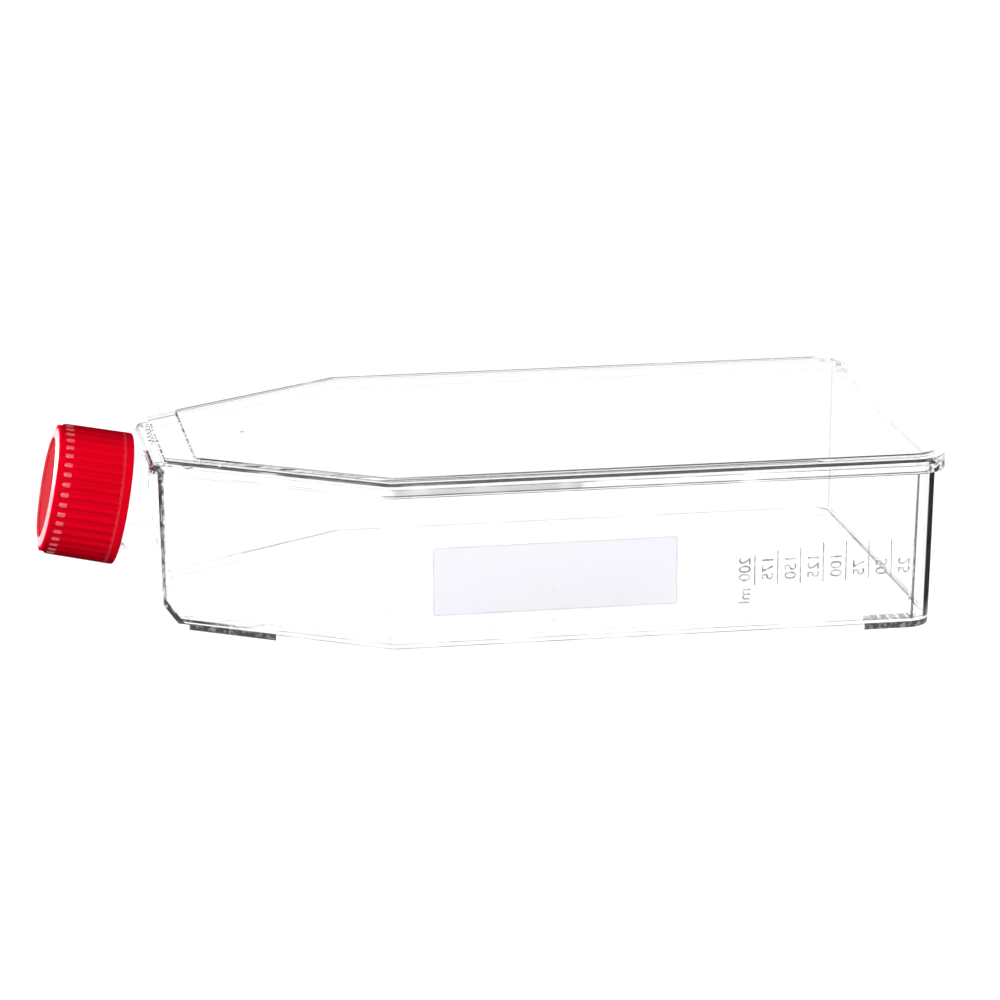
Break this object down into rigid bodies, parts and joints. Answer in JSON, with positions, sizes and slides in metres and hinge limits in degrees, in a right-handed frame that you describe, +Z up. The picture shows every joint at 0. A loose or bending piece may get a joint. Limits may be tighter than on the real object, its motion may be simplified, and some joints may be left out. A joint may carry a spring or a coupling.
{
  "type": "cell culture flask",
  "caption": "Clear flat-sided cell culture flask lying on its growth floor, with tapered shoulders, an upturned neck and a ribbed screw cap.",
  "frame": {"origin": "middle of the flask's outline, on the surface that its feet stand on", "axes": "+X along the flask from the neck to the rear wall, +Y across it, +Z up from the growth floor to the cover plate"},
  "size_m": [0.2202, 0.1138, 0.0479],
  "materials": {
    "clear_polystyrene": "water-clear, polished moulding",
    "red_polyethylene": "semi-gloss moulded cap",
    "seal_polyethylene": "soft translucent white sealing disc"
  },
  "bodies": {
    "flask": {"flask_tray": "clear_polystyrene", "cover_plate": "clear_polystyrene"},
    "seal": {"cap_seal": "seal_polyethylene"},
    "cap": {"screw_cap": "red_polyethylene"}
  },
  "joints": [
    {"name": "cap_lift", "type": "slide", "parent": "flask", "child": "seal", "axis": [-0.9792, 0, 0.2028], "range_m": [0, 0.005]},
    {"name": "cap_turn", "type": "hinge", "parent": "seal", "child": "cap", "pos_m": [-0.08126, 0, 0.0269], "axis": [-0.9792, 0, 0.2028], "range_deg": [0, 450]}
  ],
  "couplings": [
    {"joint": "cap_turn", "follows": "cap_lift", "rad_per_m": 1570.8}
  ]
}
